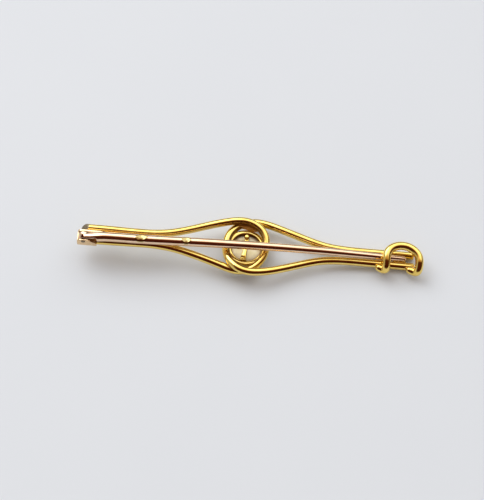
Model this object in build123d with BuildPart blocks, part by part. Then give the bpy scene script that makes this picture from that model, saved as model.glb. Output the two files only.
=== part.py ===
from build123d import *
import math
import os

os.makedirs("parts", exist_ok=True)

# A gold wire bar pin, lying with its pin side up. Two long wire loops interlock in a
# knot at the middle; a small ring with a front plate and a pearl is soldered under the
# knot. A rose gold stem swings on a rivet at the -X end and is caught under a wire hook
# at the +X end. Millimetres, +Z away from the wearer's cloth side of the front.

# ---- driving dimensions -------------------------------------------------------------
WIRE_R = 0.565          # frame wire radius
RING_MEAN_R = 2.50      # centre ring, mean radius of its section
RING_W = 0.74           # ring section width (radial)
RING_T = 0.66           # ring section thickness (along Z)
RING_C = (0.12, 0.22)   # ring centre
RING_Z = -0.80          # ring section centre height
PLATE_R = 2.42          # front plate radius
PLATE_T = 0.26          # front plate thickness
PEARL_R = 1.00          # half pearl radius
PEARL_H = 0.80          # height of the half pearl above the plate
HINGE = (-23.45, -1.10, 0.85)   # rivet axis point at the middle of the stem's knuckle
KNUCKLE_R = 0.67        # knuckle radius about the rivet
RIVET_R = 0.26          # rivet radius
HOLE_R = 0.29           # hole in the knuckle
HOOK_R = 0.610          # catch hook wire radius
STEM_R0 = 0.67          # stem radius at the hinge
STEM_R1 = 0.30          # stem radius where the point begins

# working frame -> part frame: X and Y centred on the bounding box, Z = 0 at the front
OX, OY, OZ = -0.716, -0.085, 2.070


def p(x, y, z):
    """A point given in the knot-centred working frame, moved to the part frame."""
    return (x + OX, y + OY, z + OZ)


# ---- frame wires --------------------------------------------------------------------
LEFT_PATH = [
    (-24.30, 0.93, -0.05), (-19.60, 0.90, 0.00), (-14.95, 0.86, 0.00),
    (-12.06, 1.06, 0.00), (-9.44, 1.66, 0.00), (-5.97, 2.80, 0.08),
    (-2.95, 3.63, 0.35), (-0.99, 3.90, 0.55), (0.23, 3.80, 0.57),
    (1.20, 3.46, 0.52), (1.92, 2.99, 0.45), (2.43, 2.43, 0.35),
    (2.79, 1.72, 0.23), (2.96, 0.88, 0.08), (2.91, -0.22, -0.11),
    (2.58, -1.34, -0.30), (2.07, -2.21, -0.44), (1.43, -2.86, -0.54),
    (0.64, -3.33, -0.60), (-0.19, -3.56, -0.62), (-1.16, -3.60, -0.60),
    (-3.28, -3.13, -0.44), (-6.93, -2.10, -0.10), (-10.52, -1.23, 0.00),
    (-13.30, -0.92, 0.00), (-17.34, -0.93, -0.03), (-21.60, -0.97, -0.12),
]
RIGHT_PATH = [
    (24.62, -0.98, 0.00), (18.90, -0.94, 0.00), (14.20, -0.95, 0.00),
    (11.37, -1.21, 0.00), (8.72, -1.93, 0.01), (5.01, -3.25, 0.15),
    (2.19, -4.05, 0.42), (0.72, -4.19, 0.55), (-0.23, -4.04, 0.58),
    (-1.02, -3.68, 0.56), (-1.72, -3.11, 0.48), (-2.32, -2.29, 0.31),
    (-2.71, -1.25, 0.13), (-2.85, 0.00, -0.05), (-2.69, 1.26, -0.24),
    (-2.27, 2.34, -0.40), (-1.70, 3.11, -0.51), (-0.91, 3.75, -0.58),
    (0.07, 4.19, -0.60), (1.07, 4.36, -0.57), (2.33, 4.24, -0.45),
    (4.89, 3.43, -0.20), (8.49, 2.10, -0.01), (11.71, 1.16, 0.00),
    (14.23, 0.87, 0.00), (18.93, 0.80, 0.00), (24.55, 0.82, 0.00),
]

# left loop: one wire from the far left end, round the right of the knot and back
with BuildPart() as left_loop_wire:
    with BuildLine() as left_line:
        Spline(*[p(*q) for q in LEFT_PATH])
    with BuildSketch(Plane(origin=left_line.line @ 0, z_dir=left_line.line % 0)):
        Circle(WIRE_R)
    sweep(path=left_line.line, is_frenet=False)
    # the far end is cut on a slant
    with BuildSketch(Plane.XZ.offset(-3.0)) as left_cut:
        with BuildLine():
            Polyline(p(-26.0, 0, -0.9)[0::2], p(-24.25, 0, -0.9)[0::2],
                     p(-22.45, 0, 0.95)[0::2], p(-26.0, 0, 0.95)[0::2], close=True)
        make_face()
    extrude(amount=3.2, mode=Mode.SUBTRACT)

# right loop: the same the other way, round the left of the knot
with BuildPart() as right_loop_wire:
    with BuildLine() as right_line:
        Spline(*[p(*q) for q in RIGHT_PATH])
    with BuildSketch(Plane(origin=right_line.line @ 0, z_dir=right_line.line % 0)):
        Circle(WIRE_R)
    sweep(path=right_line.line, is_frenet=False)

# ---- centre ring, front plate, pearl and its cup --------------------------------------
RX, RY = RING_C
with BuildPart() as centre_ring:
    with BuildSketch(Plane(origin=p(RX, RY, RING_Z), x_dir=(1, 0, 0), z_dir=(0, -1, 0))):
        with Locations((RING_MEAN_R, 0)):
            RectangleRounded(RING_W, RING_T, 0.26)
    revolve(axis=Axis(p(RX, RY, RING_Z), (0, 0, 1)))

PLATE_TOP = RING_Z - RING_T / 2 + 0.12
CUP_Z = PLATE_TOP - PLATE_T      # front face of the plate
with BuildPart() as front_plate:
    with BuildSketch(Plane.XY.offset(CUP_Z + OZ)):
        with Locations((RX + OX, RY + OY)):
            Circle(PLATE_R)
    extrude(amount=PLATE_T)
    fillet(front_plate.edges().group_by(Axis.Z)[0], 0.12)

# low collet round the half pearl
with BuildPart() as pearl_collet:
    with BuildSketch(Plane(origin=p(RX, RY, CUP_Z), x_dir=(1, 0, 0), z_dir=(0, -1, 0))):
        with BuildLine():
            Polyline((1.02, 0.03), (1.30, 0.03), (1.24, -0.16), (1.08, -0.34), (1.00, -0.34),
                     (1.02, -0.16), close=True)
        make_face()
    revolve(axis=Axis(p(RX, RY, CUP_Z), (0, 0, 1)))

# half pearl, flat side against the plate
with BuildPart() as half_pearl:
    with Locations(p(RX, RY, CUP_Z + PEARL_R - PEARL_H)):
        Sphere(PEARL_R)
    with BuildSketch(Plane.XY.offset(CUP_Z + OZ)):
        with Locations((RX + OX, RY + OY)):
            Circle(3 * PEARL_R)
    extrude(amount=3 * PEARL_R, mode=Mode.SUBTRACT)

# crossbar inside the ring, with a bead near its far end and a claw at its near end
BAR_Z = RING_Z - 0.02
with BuildPart() as ring_crossbar:
    with BuildSketch(Plane(origin=p(RX + 0.03, RY + 2.28, BAR_Z), x_dir=(1, 0, 0),
                           z_dir=(0, 1, 0))):
        RectangleRounded(0.66, 0.46, 0.16)
    with BuildSketch(Plane(origin=p(RX - 0.38, RY - 2.28, BAR_Z), x_dir=(1, 0, 0),
                           z_dir=(0, 1, 0))):
        RectangleRounded(0.92, 0.50, 0.18)
    loft()

with BuildPart() as crossbar_bead:
    with Locations(p(RX + 0.00, RY + 1.62, BAR_Z + 0.40)):
        Sphere(0.40)

with BuildPart() as crossbar_claw:
    with BuildSketch(Plane(origin=p(RX - 0.50, RY - 1.35, BAR_Z + 0.05), x_dir=(1, 0, 0),
                           z_dir=(0.12, -0.95, 0.20))):
        Ellipse(0.30, 0.26)
    with BuildSketch(Plane(origin=p(RX - 0.32, RY - 2.25, BAR_Z + 0.30), x_dir=(1, 0, 0),
                           z_dir=(0.30, -0.95, 0.10))):
        Ellipse(0.62, 0.30)
    loft()

# ---- hinge ----------------------------------------------------------------------------
HX, HY, HZ = HINGE
EAR_IN = HY + 0.80       # inner face of the far ear
EAR_OUT = EAR_IN + 0.34
LUG_IN = HY - 0.42       # inner face of the near lug
LUG_OUT = LUG_IN - 0.28
BASE_TOP = HZ - KNUCKLE_R - 0.06
BASE_T = 0.42
EAR_L = HX - 0.90        # -X end of the bracket
WALL = 0.19              # thickness of the end wall
LUG_R = HX + 1.95        # +X end of the near ear
EAR_R = HX + 2.85        # +X end of the far ear

# one folded sheet: base under the knuckle, a long far ear, a lower near ear and an end wall
with BuildPart() as hinge_bracket:
    with BuildSketch(Plane.XY.offset(BASE_TOP - BASE_T + OZ)):
        with BuildLine():
            Polyline((EAR_L + OX, LUG_OUT + OY), (LUG_R + OX, LUG_OUT + OY),
                     (LUG_R + OX, LUG_OUT + 0.70 + OY), (EAR_R + OX, EAR_IN - 0.10 + OY),
                     (EAR_R + OX, EAR_OUT + OY), (EAR_L + OX, EAR_OUT + OY), close=True)
        make_face()
    extrude(amount=BASE_T)
    # far ear
    with BuildSketch(Plane(origin=p(0, EAR_IN, 0), x_dir=(1, 0, 0), z_dir=(0, 1, 0))):
        with BuildLine():
            # local x = X, local y = -Z
            Polyline((EAR_L, -(BASE_TOP - 0.05)), (EAR_R, -(BASE_TOP - 0.05)),
                     (EAR_R, -(HZ - 0.05)), (EAR_R - 0.25, -(HZ + 0.26)),
                     (EAR_L + 0.30, -(HZ + 0.34)), (EAR_L, -(HZ + 0.05)), close=True)
        make_face()
    extrude(amount=EAR_OUT - EAR_IN)
    # near ear, falling away towards +X
    with BuildSketch(Plane(origin=p(0, LUG_OUT, 0), x_dir=(1, 0, 0), z_dir=(0, 1, 0))):
        with BuildLine():
            Polyline((EAR_L, -(BASE_TOP - 0.05)), (LUG_R, -(BASE_TOP - 0.05)),
                     (LUG_R, -(BASE_TOP + 0.16)), (HX + 0.75, -(HZ + 0.32)),
                     (HX - 0.45, -(HZ + 0.36)), (EAR_L + 0.12, -(HZ + 0.16)),
                     (EAR_L, -(HZ - 0.06)), close=True)
        make_face()
    extrude(amount=LUG_IN - LUG_OUT)
    # end wall joining the two ears, lower than the rivet axis
    with BuildSketch(Plane.XY.offset(BASE_TOP - 0.05 + OZ)):
        with Locations((EAR_L + WALL / 2 + OX, (LUG_OUT + EAR_OUT) / 2 + OY)):
            Rectangle(WALL, EAR_OUT - LUG_OUT)
    extrude(amount=HZ - 0.06 - BASE_TOP + 0.05)
    # rivet hole through both
    with BuildSketch(Plane(origin=p(HX, EAR_OUT + 0.5, HZ), x_dir=(1, 0, 0),
                           z_dir=(0, -1, 0))):
        Circle(RIVET_R)
    extrude(amount=EAR_OUT - LUG_OUT + 1.0, mode=Mode.SUBTRACT)

with BuildPart() as hinge_rivet:
    with BuildSketch(Plane(origin=p(HX, EAR_OUT + 0.0, HZ), x_dir=(1, 0, 0),
                           z_dir=(0, -1, 0))):
        Circle(RIVET_R)
    extrude(amount=EAR_OUT - LUG_OUT)
    # a domed far head and a nearly flush near head
    with BuildSketch(Plane(origin=p(HX, EAR_OUT, HZ), x_dir=(1, 0, 0), z_dir=(0, 1, 0))):
        Circle(0.38)
    extrude(amount=0.13)
    with BuildSketch(Plane(origin=p(HX, LUG_OUT, HZ), x_dir=(1, 0, 0), z_dir=(0, -1, 0))):
        Circle(0.33)
    extrude(amount=0.06)
    fillet(hinge_rivet.edges().group_by(Axis.Y)[-1], 0.10)
    fillet(hinge_rivet.edges().group_by(Axis.Y)[0], 0.04)

# ---- pin stem: pierced knuckle and a tapered, slightly sprung wire ---------------------
STEM = [  # x, y, z, radius
    (-23.45, -1.10, 0.85, 0.670), (-22.60, -1.07, 0.93, 0.680),
    (-21.60, -1.03, 1.15, 0.688), (-20.40, -0.98, 1.33, 0.686),
    (-18.60, -0.94, 1.36, 0.680), (-15.00, -0.89, 1.36, 0.668),
    (-10.50, -0.78, 1.45, 0.655), (-5.00, -0.66, 1.58, 0.640),
    (0.50, -0.54, 1.64, 0.615), (6.00, -0.44, 1.63, 0.585),
    (11.50, -0.34, 1.47, 0.540), (16.50, -0.26, 1.18, 0.475),
    (20.00, -0.21, 0.98, 0.415), (22.40, -0.19, 0.88, 0.345), (23.10, -0.19, 0.86, 0.290),
]


def stem_at(x):
    """Stem centre, radius and direction at x, by a smooth curve through the stations."""
    pts = STEM
    i = max(j for j in range(len(pts) - 1) if pts[j][0] <= x + 1e-9)
    a, b = pts[i], pts[i + 1]
    h = b[0] - a[0]
    t = (x - a[0]) / h

    def slope(j, k):
        lo, hi = max(j - 1, 0), min(j + 1, len(pts) - 1)
        return (pts[hi][k] - pts[lo][k]) / (pts[hi][0] - pts[lo][0])

    out = []
    for k in (1, 2, 3):
        m0 = 0.0 if i == 0 and k != 3 else slope(i, k)
        m1 = slope(i + 1, k)
        y0, y1 = a[k], b[k]
        v = ((2 * t**3 - 3 * t**2 + 1) * y0 + (t**3 - 2 * t**2 + t) * h * m0
             + (-2 * t**3 + 3 * t**2) * y1 + (t**3 - t**2) * h * m1)
        g = ((6 * t**2 - 6 * t) * y0 / h + (3 * t**2 - 4 * t + 1) * m0
             + (-6 * t**2 + 6 * t) * y1 / h + (3 * t**2 - 2 * t) * m1)
        out.append((v, g))
    return out


STEM_N = 62
with BuildPart() as pin_stem:
    for i in range(STEM_N + 1):
        x = STEM[0][0] + (STEM[-1][0] - STEM[0][0]) * i / STEM_N
        (y, dy), (z, dz), (r, dr) = stem_at(x)
        with BuildSketch(Plane(origin=p(x, y, z), x_dir=(-dy, 1, 0), z_dir=(1, dy, dz))):
            Circle(r)
    loft(ruled=True)
    # blunt rounded point
    with Locations(p(*STEM[-1][:3])):
        Sphere(STEM[-1][3] * 0.99)
    # knuckle: a barrel across the stem's end
    with BuildSketch(Plane(origin=p(HX, HY + 0.64, HZ), x_dir=(1, 0, 0), z_dir=(0, -1, 0))):
        Circle(KNUCKLE_R)
    extrude(amount=1.26)
    # clear of the far ear
    with BuildSketch(Plane.XY.offset(-1.0 + OZ)):
        with Locations(((EAR_L + EAR_R) / 2 + OX + 0.1, EAR_IN - 0.05 + 1.0 + OY)):
            Rectangle(EAR_R - EAR_L + 0.8, 2.0)
    extrude(amount=4.0, mode=Mode.SUBTRACT)
    # flat for the near ear
    with BuildSketch(Plane(origin=p(HX, LUG_IN + 0.04, HZ), x_dir=(1, 0, 0),
                           z_dir=(0, -1, 0))):
        Circle(2.02)
    extrude(amount=1.5, mode=Mode.SUBTRACT)
    # rivet hole
    with BuildSketch(Plane(origin=p(HX, HY + 1.5, HZ), x_dir=(1, 0, 0), z_dir=(0, -1, 0))):
        Circle(HOLE_R)
    extrude(amount=3.0, mode=Mode.SUBTRACT)
    # two generic punch dimples on the stem's upper face
    with Locations(p(-15.15, -0.90, 1.33 + 0.668 + 0.30)):
        Sphere(0.40, mode=Mode.SUBTRACT)
    with Locations(p(-8.65, -0.74, 1.50 + 0.650 + 0.30)):
        Sphere(0.38, mode=Mode.SUBTRACT)

# ---- catch: a wire hairpin bent over into a hook, on two short feet ---------------------
HOOK_PATH = [
    (20.45, -2.15, 0.72), (20.43, -2.06, 1.25), (20.40, -1.68, 1.80),
    (20.38, -1.00, 2.10), (20.46, -0.20, 2.26), (20.95, 0.55, 2.30),
    (21.75, 1.02, 2.31), (22.65, 1.16, 2.31), (23.65, 0.98, 2.28),
    (24.52, 0.42, 2.24), (25.04, -0.35, 2.14), (25.17, -1.10, 1.98),
    (25.15, -1.68, 1.68), (25.08, -2.07, 1.18), (24.98, -2.18, 0.70),
]
with BuildPart() as catch_hook:
    with BuildLine() as hook_line:
        Spline(*[p(*q) for q in HOOK_PATH])
    with BuildSketch(Plane(origin=hook_line.line @ 0, z_dir=hook_line.line % 0)):
        Circle(HOOK_R)
    sweep(path=hook_line.line, is_frenet=False)
    with Locations(p(*HOOK_PATH[0]), p(*HOOK_PATH[-1])):
        Sphere(HOOK_R)
    # feet: each end turns back along the near wire
    for knee, toe in (((20.45, -2.15, 0.72), (19.35, -1.86, 0.72)),
                      ((24.98, -2.18, 0.70), (23.80, -1.84, 0.74))):
        k = p(*knee)
        t = p(*toe)
        d = (t[0] - k[0], t[1] - k[1], t[2] - k[2])
        length = math.sqrt(d[0] ** 2 + d[1] ** 2 + d[2] ** 2)
        with BuildSketch(Plane(origin=k, z_dir=d)):
            Circle(HOOK_R * 0.98)
        with BuildSketch(Plane(origin=t, z_dir=d)):
            Circle(0.44)
        loft()
        with Locations(t):
            Sphere(0.44)

# ---- hard solder fillets ----------------------------------------------------------------
# each is a small ellipsoid-like bridge lying in the groove between two pieces


def bridge(a, b, ra, rb):
    """A thin lens of solder lofted from point a to point b."""
    d = (b[0] - a[0], b[1] - a[1], b[2] - a[2])
    with BuildPart() as lens:
        with BuildSketch(Plane(origin=p(*a), z_dir=d)):
            Circle(ra)
        with BuildSketch(Plane(origin=p(*[(u + v) / 2 for u, v in zip(a, b)]), z_dir=d)):
            Circle(rb)
        with BuildSketch(Plane(origin=p(*b), z_dir=d)):
            Circle(ra)
        loft()
    return lens


solder_knot_far = bridge((-1.15, 3.55, -0.30), (1.95, 3.00, -0.30), 0.20, 0.43)
solder_knot_near = bridge((-2.4, -3.12, -0.02), (-0.2, -3.85, 0.0), 0.16, 0.30)
solder_ring_left = bridge((RX - 2.64, RY - 1.0, -0.56), (RX - 2.64, RY + 0.5, -0.62), 0.14, 0.22)
solder_ring_right = bridge((RX + 2.62, RY - 0.5, -0.62), (RX + 2.60, RY + 1.0, -0.54), 0.14, 0.22)
solder_hinge_far = bridge((HX + 0.45, EAR_OUT + 0.12, 0.05), (HX + 2.6, EAR_OUT + 0.10, 0.05),
                          0.18, 0.24)
solder_hinge_near = bridge((HX + 0.80, -0.98, -0.10), (HX + 2.10, -0.98, -0.36), 0.22, 0.34)
solder_bars_left = bridge((HX + 3.0, 0.0, -0.30), (HX + 5.2, 0.0, -0.30), 0.30, 0.42)
solder_bars_right = bridge((21.6, -0.09, -0.32), (23.5, -0.09, -0.32), 0.30, 0.42)
solder_catch_left = bridge((19.10, -1.42, 0.36), (20.55, -1.62, 0.34), 0.16, 0.26)
solder_catch_right = bridge((23.25, -1.40, 0.34), (24.20, -1.54, 0.34), 0.16, 0.26)

# ---- export -----------------------------------------------------------------------------
NODES = {
    "left_loop_wire": left_loop_wire, "right_loop_wire": right_loop_wire,
    "centre_ring": centre_ring, "front_plate": front_plate, "pearl_collet": pearl_collet,
    "half_pearl": half_pearl, "ring_crossbar": ring_crossbar, "crossbar_bead": crossbar_bead,
    "crossbar_claw": crossbar_claw, "hinge_bracket": hinge_bracket,
    "hinge_rivet": hinge_rivet, "pin_stem": pin_stem, "catch_hook": catch_hook,
    "solder_knot_far": solder_knot_far, "solder_knot_near": solder_knot_near,
    "solder_ring_left": solder_ring_left, "solder_ring_right": solder_ring_right,
    "solder_hinge_far": solder_hinge_far, "solder_hinge_near": solder_hinge_near,
    "solder_bars_left": solder_bars_left, "solder_bars_right": solder_bars_right,
    "solder_catch_left": solder_catch_left, "solder_catch_right": solder_catch_right,
}
for node_name, built in NODES.items():
    built.part.label = node_name
    export_step(built.part, "parts/%s.step" % node_name)
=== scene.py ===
import math
import bpy
import bmesh
import numpy as np
from mathutils import Vector, Matrix


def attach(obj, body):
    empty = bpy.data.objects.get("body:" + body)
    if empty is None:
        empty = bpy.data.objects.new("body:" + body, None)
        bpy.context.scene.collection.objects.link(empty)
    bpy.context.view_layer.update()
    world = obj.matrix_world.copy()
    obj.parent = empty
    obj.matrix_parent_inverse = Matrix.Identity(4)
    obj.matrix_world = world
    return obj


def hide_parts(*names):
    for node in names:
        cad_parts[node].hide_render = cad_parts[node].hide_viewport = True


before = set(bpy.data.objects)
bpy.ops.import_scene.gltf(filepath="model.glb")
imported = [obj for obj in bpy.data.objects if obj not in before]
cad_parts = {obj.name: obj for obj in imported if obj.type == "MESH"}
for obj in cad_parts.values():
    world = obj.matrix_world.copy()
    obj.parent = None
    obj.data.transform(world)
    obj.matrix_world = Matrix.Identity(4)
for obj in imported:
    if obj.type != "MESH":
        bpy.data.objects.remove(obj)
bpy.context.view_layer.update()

# Lengths below are millimetres in the knot-centred working frame; P() moves them to the part frame.
OFF = np.array((-0.716, -0.085, 2.070))
WIRE_R = 0.565
RNG = np.random.default_rng(7)


def P(q):
    return np.asarray(q, float) + OFF


# ------------------------------------------------------------------ curves
def spline(points, step=0.06):
    """Natural cubic spline through points, chord-length parameter, sampled evenly. Returns samples."""
    pts = np.asarray(points, float)
    t = np.r_[0, np.cumsum(np.linalg.norm(np.diff(pts, axis=0), axis=1))]
    n = len(t)
    h = np.diff(t)
    A = np.zeros((n, n))
    B = np.zeros((n, pts.shape[1]))
    A[0, 0] = A[-1, -1] = 1
    for i in range(1, n - 1):
        A[i, i - 1], A[i, i], A[i, i + 1] = h[i - 1], 2 * (h[i - 1] + h[i]), h[i]
        B[i] = 6 * ((pts[i + 1] - pts[i]) / h[i] - (pts[i] - pts[i - 1]) / h[i - 1])
    M = np.linalg.solve(A, B)
    s = np.linspace(0, t[-1], max(2, int(t[-1] / step)) + 1)
    i = np.clip(np.searchsorted(t, s, side="right") - 1, 0, n - 2)
    a = (t[i + 1] - s)[:, None]
    b = (s - t[i])[:, None]
    hh = h[i][:, None]
    return (M[i] * a**3 + M[i + 1] * b**3) / (6 * hh) + (pts[i] / hh - M[i] * hh / 6) * a \
        + (pts[i + 1] / hh - M[i + 1] * hh / 6) * b


LEFT_PATH = [
    (-24.30, 0.93, -0.05), (-19.60, 0.90, 0.00), (-14.95, 0.86, 0.00),
    (-12.06, 1.06, 0.00), (-9.44, 1.66, 0.00), (-5.97, 2.80, 0.08),
    (-2.95, 3.63, 0.35), (-0.99, 3.90, 0.55), (0.23, 3.80, 0.57),
    (1.20, 3.46, 0.52), (1.92, 2.99, 0.45), (2.43, 2.43, 0.35),
    (2.79, 1.72, 0.23), (2.96, 0.88, 0.08), (2.91, -0.22, -0.11),
    (2.58, -1.34, -0.30), (2.07, -2.21, -0.44), (1.43, -2.86, -0.54),
    (0.64, -3.33, -0.60), (-0.19, -3.56, -0.62), (-1.16, -3.60, -0.60),
    (-3.28, -3.13, -0.44), (-6.93, -2.10, -0.10), (-10.52, -1.23, 0.00),
    (-13.30, -0.92, 0.00), (-17.34, -0.93, -0.03), (-21.60, -0.97, -0.12),
]
RIGHT_PATH = [
    (24.62, -0.98, 0.00), (18.90, -0.94, 0.00), (14.20, -0.95, 0.00),
    (11.37, -1.21, 0.00), (8.72, -1.93, 0.01), (5.01, -3.25, 0.15),
    (2.19, -4.05, 0.42), (0.72, -4.19, 0.55), (-0.23, -4.04, 0.58),
    (-1.02, -3.68, 0.56), (-1.72, -3.11, 0.48), (-2.32, -2.29, 0.31),
    (-2.71, -1.25, 0.13), (-2.85, 0.00, -0.05), (-2.69, 1.26, -0.24),
    (-2.27, 2.34, -0.40), (-1.70, 3.11, -0.51), (-0.91, 3.75, -0.58),
    (0.07, 4.19, -0.60), (1.07, 4.36, -0.57), (2.33, 4.24, -0.45),
    (4.89, 3.43, -0.20), (8.49, 2.10, -0.01), (11.71, 1.16, 0.00),
    (14.23, 0.87, 0.00), (18.93, 0.80, 0.00), (24.55, 0.82, 0.00),
]
STEM = [
    (-23.45, -1.10, 0.85, 0.670), (-22.60, -1.07, 0.93, 0.680),
    (-21.60, -1.03, 1.15, 0.688), (-20.40, -0.98, 1.33, 0.686),
    (-18.60, -0.94, 1.36, 0.680), (-15.00, -0.89, 1.36, 0.668),
    (-10.50, -0.78, 1.45, 0.655), (-5.00, -0.66, 1.58, 0.640),
    (0.50, -0.54, 1.64, 0.615), (6.00, -0.44, 1.63, 0.585),
    (11.50, -0.34, 1.47, 0.540), (16.50, -0.26, 1.18, 0.475),
    (20.00, -0.21, 0.98, 0.415), (22.40, -0.19, 0.88, 0.345), (23.10, -0.19, 0.86, 0.290),
]
HOOK_PATH = [
    (19.38, -1.88, 0.72), (19.80, -2.00, 0.67), (20.19, -2.10, 0.76), (20.40, -2.13, 1.02),
    (20.42, -2.04, 1.36), (20.40, -1.68, 1.80),
    (20.38, -1.00, 2.10), (20.46, -0.20, 2.26), (20.95, 0.55, 2.30),
    (21.75, 1.02, 2.31), (22.65, 1.16, 2.31), (23.65, 0.98, 2.28),
    (24.52, 0.42, 2.24), (25.04, -0.35, 2.14), (25.17, -1.10, 1.98),
    (25.15, -1.68, 1.68), (25.09, -2.04, 1.28),
    (24.97, -2.14, 0.98), (24.66, -2.08, 0.74), (24.25, -1.98, 0.69), (23.82, -1.86, 0.74),
]
RX, RY = 0.12, 0.22
RING_Z, RING_MEAN_R, RING_W, RING_T = -0.80, 2.50, 0.74, 0.66
PLATE_TOP = RING_Z - RING_T / 2 + 0.12
CUP_Z = PLATE_TOP - 0.26
HX, HY, HZ = -23.45, -1.10, 0.85
EAR_IN = HY + 0.80
EAR_OUT = EAR_IN + 0.34
LUG_IN = HY - 0.42
LUG_OUT = LUG_IN - 0.28
KN_R = 0.67
BASE_TOP = HZ - KN_R - 0.06

LEFT = P(spline(LEFT_PATH))
RIGHT = P(spline(RIGHT_PATH))
HOOK = P(spline(HOOK_PATH, 0.04))


# ------------------------------------------------------------------ meshes
def obj_from(name, verts, faces, attr=None):
    me = bpy.data.meshes.new(name)
    me.from_pydata([tuple(v * 0.001) for v in np.asarray(verts, float)], [], faces)
    me.validate()
    ob = bpy.data.objects.new(name, me)
    bpy.context.scene.collection.objects.link(ob)
    if attr is not None:
        set_attr(ob, attr)
    smooth(ob)
    return ob


def set_attr(ob, values, name="tarnish_and_shade"):
    a = ob.data.attributes.get(name) or ob.data.attributes.new(name, "FLOAT", "POINT")
    a.data.foreach_set("value", np.asarray(values, np.float32))


def smooth(ob, angle=None):
    ob.data.polygons.foreach_set("use_smooth", [True] * len(ob.data.polygons))
    if angle is not None:
        ob.data.set_sharp_from_angle(angle=math.radians(angle))
    ob.data.update()


def coords(ob):
    co = np.zeros(len(ob.data.vertices) * 3)
    ob.data.vertices.foreach_get("co", co)
    return co.reshape(-1, 3) * 1000.0


def frames(path):
    t = np.gradient(path, axis=0)
    t /= np.linalg.norm(t, axis=1)[:, None]
    u = np.cross(t[0], (0, 0, 1.0))
    u /= np.linalg.norm(u)
    us = [u]
    for i in range(1, len(path)):
        u = us[-1] - t[i] * np.dot(us[-1], t[i])
        us.append(u / np.linalg.norm(u))
    us = np.array(us)
    return t, us, np.cross(t, us)


def wobble(n, scale, amp, seed):
    """Slow random variation along a path, smooth, zero mean."""
    r = np.random.default_rng(seed)
    k = max(4, int(n / scale) + 3)
    y = r.normal(size=k)
    x = np.linspace(0, k - 1, n)
    i = np.clip(x.astype(int), 0, k - 2)
    f = x - i
    f = f * f * (3 - 2 * f)
    return amp * (y[i] * (1 - f) + y[i + 1] * f)


def tube(name, path, radius, segs=56, cap0="flat", cap1="flat", bevel=0.10, uneven=0.006, seed=1):
    """A closed wire along path. radius is a number or one per sample."""
    path = np.asarray(path, float)
    rad = np.broadcast_to(np.asarray(radius, float), (len(path),)).copy()
    rad *= 1 + wobble(len(path), 40, uneven, seed) * 0.6
    t, u, v = frames(path)
    ang = np.linspace(0, 2 * np.pi, segs, endpoint=False)
    oval = wobble(len(path), 60, uneven * 0.8, seed + 9)
    rings = []

    def ring(c, uu, vv, r, ov=0.0):
        return c + np.outer(np.cos(ang) * r * (1 + ov), uu) + np.outer(np.sin(ang) * r * (1 - ov), vv)

    def cap_rings(c, tt, uu, vv, r, kind, sign):
        out = []
        if kind == "dome":
            for a in np.linspace(90, 12, 9)[1:]:
                a = math.radians(a)
                out.append(ring(c + tt * sign * r * math.cos(a) * 0.92, uu, vv, r * math.sin(a)))
        elif kind == "flat":
            for a in np.linspace(0, 90, 6):
                a = math.radians(a)
                out.append(ring(c + tt * sign * bevel * (math.sin(a) - 1), uu, vv, r - bevel * (1 - math.cos(a))))
            for f in (0.6, 0.25):
                out.append(ring(c, uu, vv, (r - bevel) * f))
        return out

    first = cap_rings(path[0], t[0], u[0], v[0], rad[0], cap0, -1)
    last = cap_rings(path[-1], t[-1], u[-1], v[-1], rad[-1], cap1, 1)
    body = range(len(path))
    if cap0 == "flat":
        body = [i for i in body if np.dot(path[i] - path[0], t[0]) > bevel * 1.05 or i > len(path) / 2]
    if cap1 == "flat":
        body = [i for i in body if np.dot(path[-1] - path[i], t[-1]) > bevel * 1.05 or i < len(path) / 2]
    rings = first[::-1] + [ring(path[i], u[i], v[i], rad[i], oval[i]) for i in body] + last
    verts = np.vstack(rings)
    faces = []
    for j in range(len(rings) - 1):
        a, b = j * segs, (j + 1) * segs
        for k in range(segs):
            k2 = (k + 1) % segs
            faces.append((a + k, a + k2, b + k2, b + k))
    c0, c1 = len(verts), len(verts) + 1
    verts = np.vstack([verts, rings[0].mean(0), rings[-1].mean(0)])
    e = (len(rings) - 1) * segs
    for k in range(segs):
        k2 = (k + 1) % segs
        faces.append((c0, k2, k))
        faces.append((c1, e + k, e + k2))
    return obj_from(name, verts, faces)


def lathe(name, profile, centre, segs=128, scallop=None):
    """Turn an open or closed (r, z) profile about the Z axis through centre."""
    prof = np.asarray(profile, float)
    n = len(prof)
    verts, faces = [], []
    for k in range(segs):
        a = 2 * math.pi * k / segs
        rz = prof.copy()
        if scallop is not None:
            rz = scallop(rz, a)
        verts.append(np.column_stack([rz[:, 0] * math.cos(a), rz[:, 0] * math.sin(a), rz[:, 1]]))
    verts = np.vstack(verts) + np.asarray(centre, float)
    for k in range(segs):
        a, b = k * n, ((k + 1) % segs) * n
        for j in range(n):
            j2 = (j + 1) % n
            faces.append((a + j, b + j, b + j2, a + j2))
    ob = obj_from(name, verts, faces)
    bm = bmesh.new()
    bm.from_mesh(ob.data)
    bmesh.ops.remove_doubles(bm, verts=bm.verts, dist=1e-8)
    bmesh.ops.dissolve_degenerate(bm, edges=bm.edges, dist=1e-8)
    bmesh.ops.recalc_face_normals(bm, faces=bm.faces)
    bm.to_mesh(ob.data)
    bm.free()
    smooth(ob)
    return ob


def rounded(points, r, n=5):
    """Round the corners of a closed 2-D outline."""
    pts = [np.asarray(p, float) for p in points]
    out = []
    m = len(pts)
    for i in range(m):
        a, b, c = pts[i - 1], pts[i], pts[(i + 1) % m]
        d1, d2 = a - b, c - b
        l1, l2 = np.linalg.norm(d1), np.linalg.norm(d2)
        rr = min(r, 0.45 * l1, 0.45 * l2)
        p1, p2 = b + d1 / l1 * rr, b + d2 / l2 * rr
        for k in range(n + 1):
            s = k / n
            out.append((1 - s) ** 2 * p1 + 2 * s * (1 - s) * b + s * s * p2)
    return np.array(out)


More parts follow.
